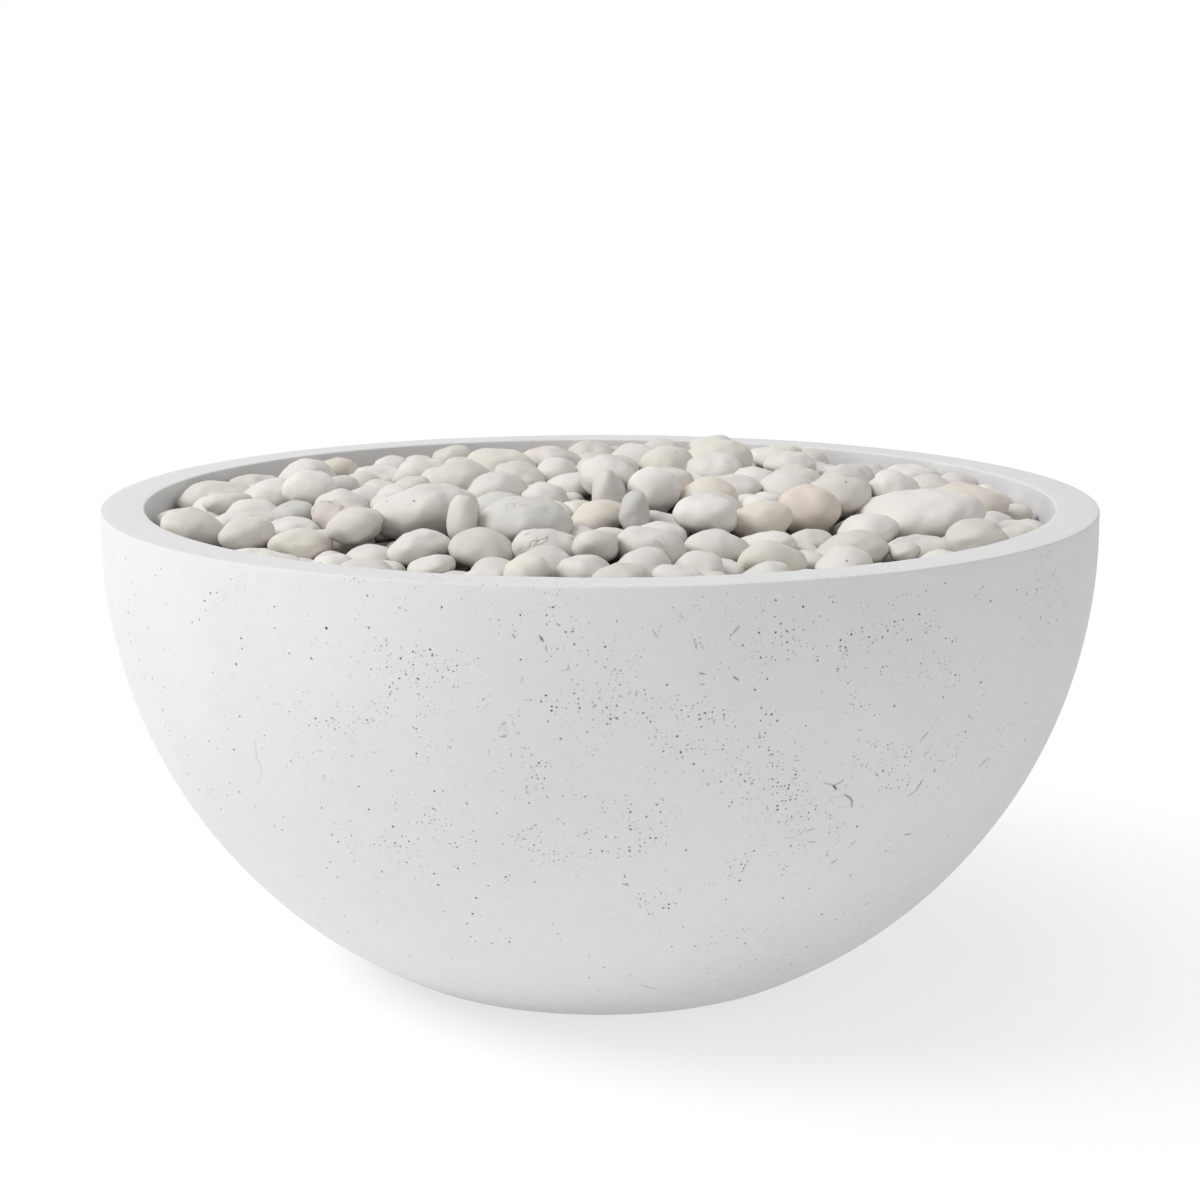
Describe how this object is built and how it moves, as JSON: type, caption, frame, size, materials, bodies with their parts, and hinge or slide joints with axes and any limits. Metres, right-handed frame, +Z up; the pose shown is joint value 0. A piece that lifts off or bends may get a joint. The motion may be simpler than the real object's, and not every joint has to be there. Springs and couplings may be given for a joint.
{
  "type": "fire pit",
  "caption": "Round cast-concrete fire bowl on a flat foot, filled with a mound of pale tumbled stones over a gas burner.",
  "frame": {"origin": "on the floor, under the centre of the bowl", "axes": "+Z up; the picture looks along +Y from slightly above; +X to its right, the side of the valve's stem"},
  "size_m": [0.9143, 0.9144, 0.4822],
  "materials": {
    "concrete": "smooth cast concrete, pale off-white, with small air holes",
    "pad_rubber": "moulded rubber",
    "stainless_plate": "mill-finish stainless sheet",
    "stainless_tube": "welded stainless tube",
    "brass": "machined brass",
    "plated_steel": "bright zinc plate",
    "lava_rock": "rough crushed lava rock",
    "vinyl": "dipped yellow vinyl",
    "tumbled_stone": "tumbled, matt, pale greys and creams"
  },
  "bodies": {
    "fire_pit": {"burner_jets": "brass", "burner_locknut": "plated_steel", "burner_plate": "stainless_plate", "concrete_bowl": "concrete", "foot_pads": "pad_rubber", "lava_rock_fill": "lava_rock", "star_burner": "stainless_tube", "stones_centre_1": "tumbled_stone", "stones_centre_2": "tumbled_stone", "stones_middle_1": "tumbled_stone", "stones_middle_2": "tumbled_stone", "stones_middle_3": "tumbled_stone", "stones_middle_4": "tumbled_stone", "stones_outer_1": "tumbled_stone", "stones_outer_2": "tumbled_stone", "stones_outer_3": "tumbled_stone", "stones_outer_4": "tumbled_stone", "stones_outer_5": "tumbled_stone", "stones_outer_6": "tumbled_stone", "valve_body": "brass"},
    "valve_handle": {"valve_stem": "plated_steel", "valve_lever": "plated_steel", "lever_sleeve": "vinyl", "lever_nut": "plated_steel"}
  },
  "joints": [
    {"name": "valve_turn", "type": "hinge", "parent": "fire_pit", "child": "valve_handle", "pos_m": [0.0332, 0, 0.27], "axis": [-1, 0, 0], "range_deg": [0, 90]}
  ]
}
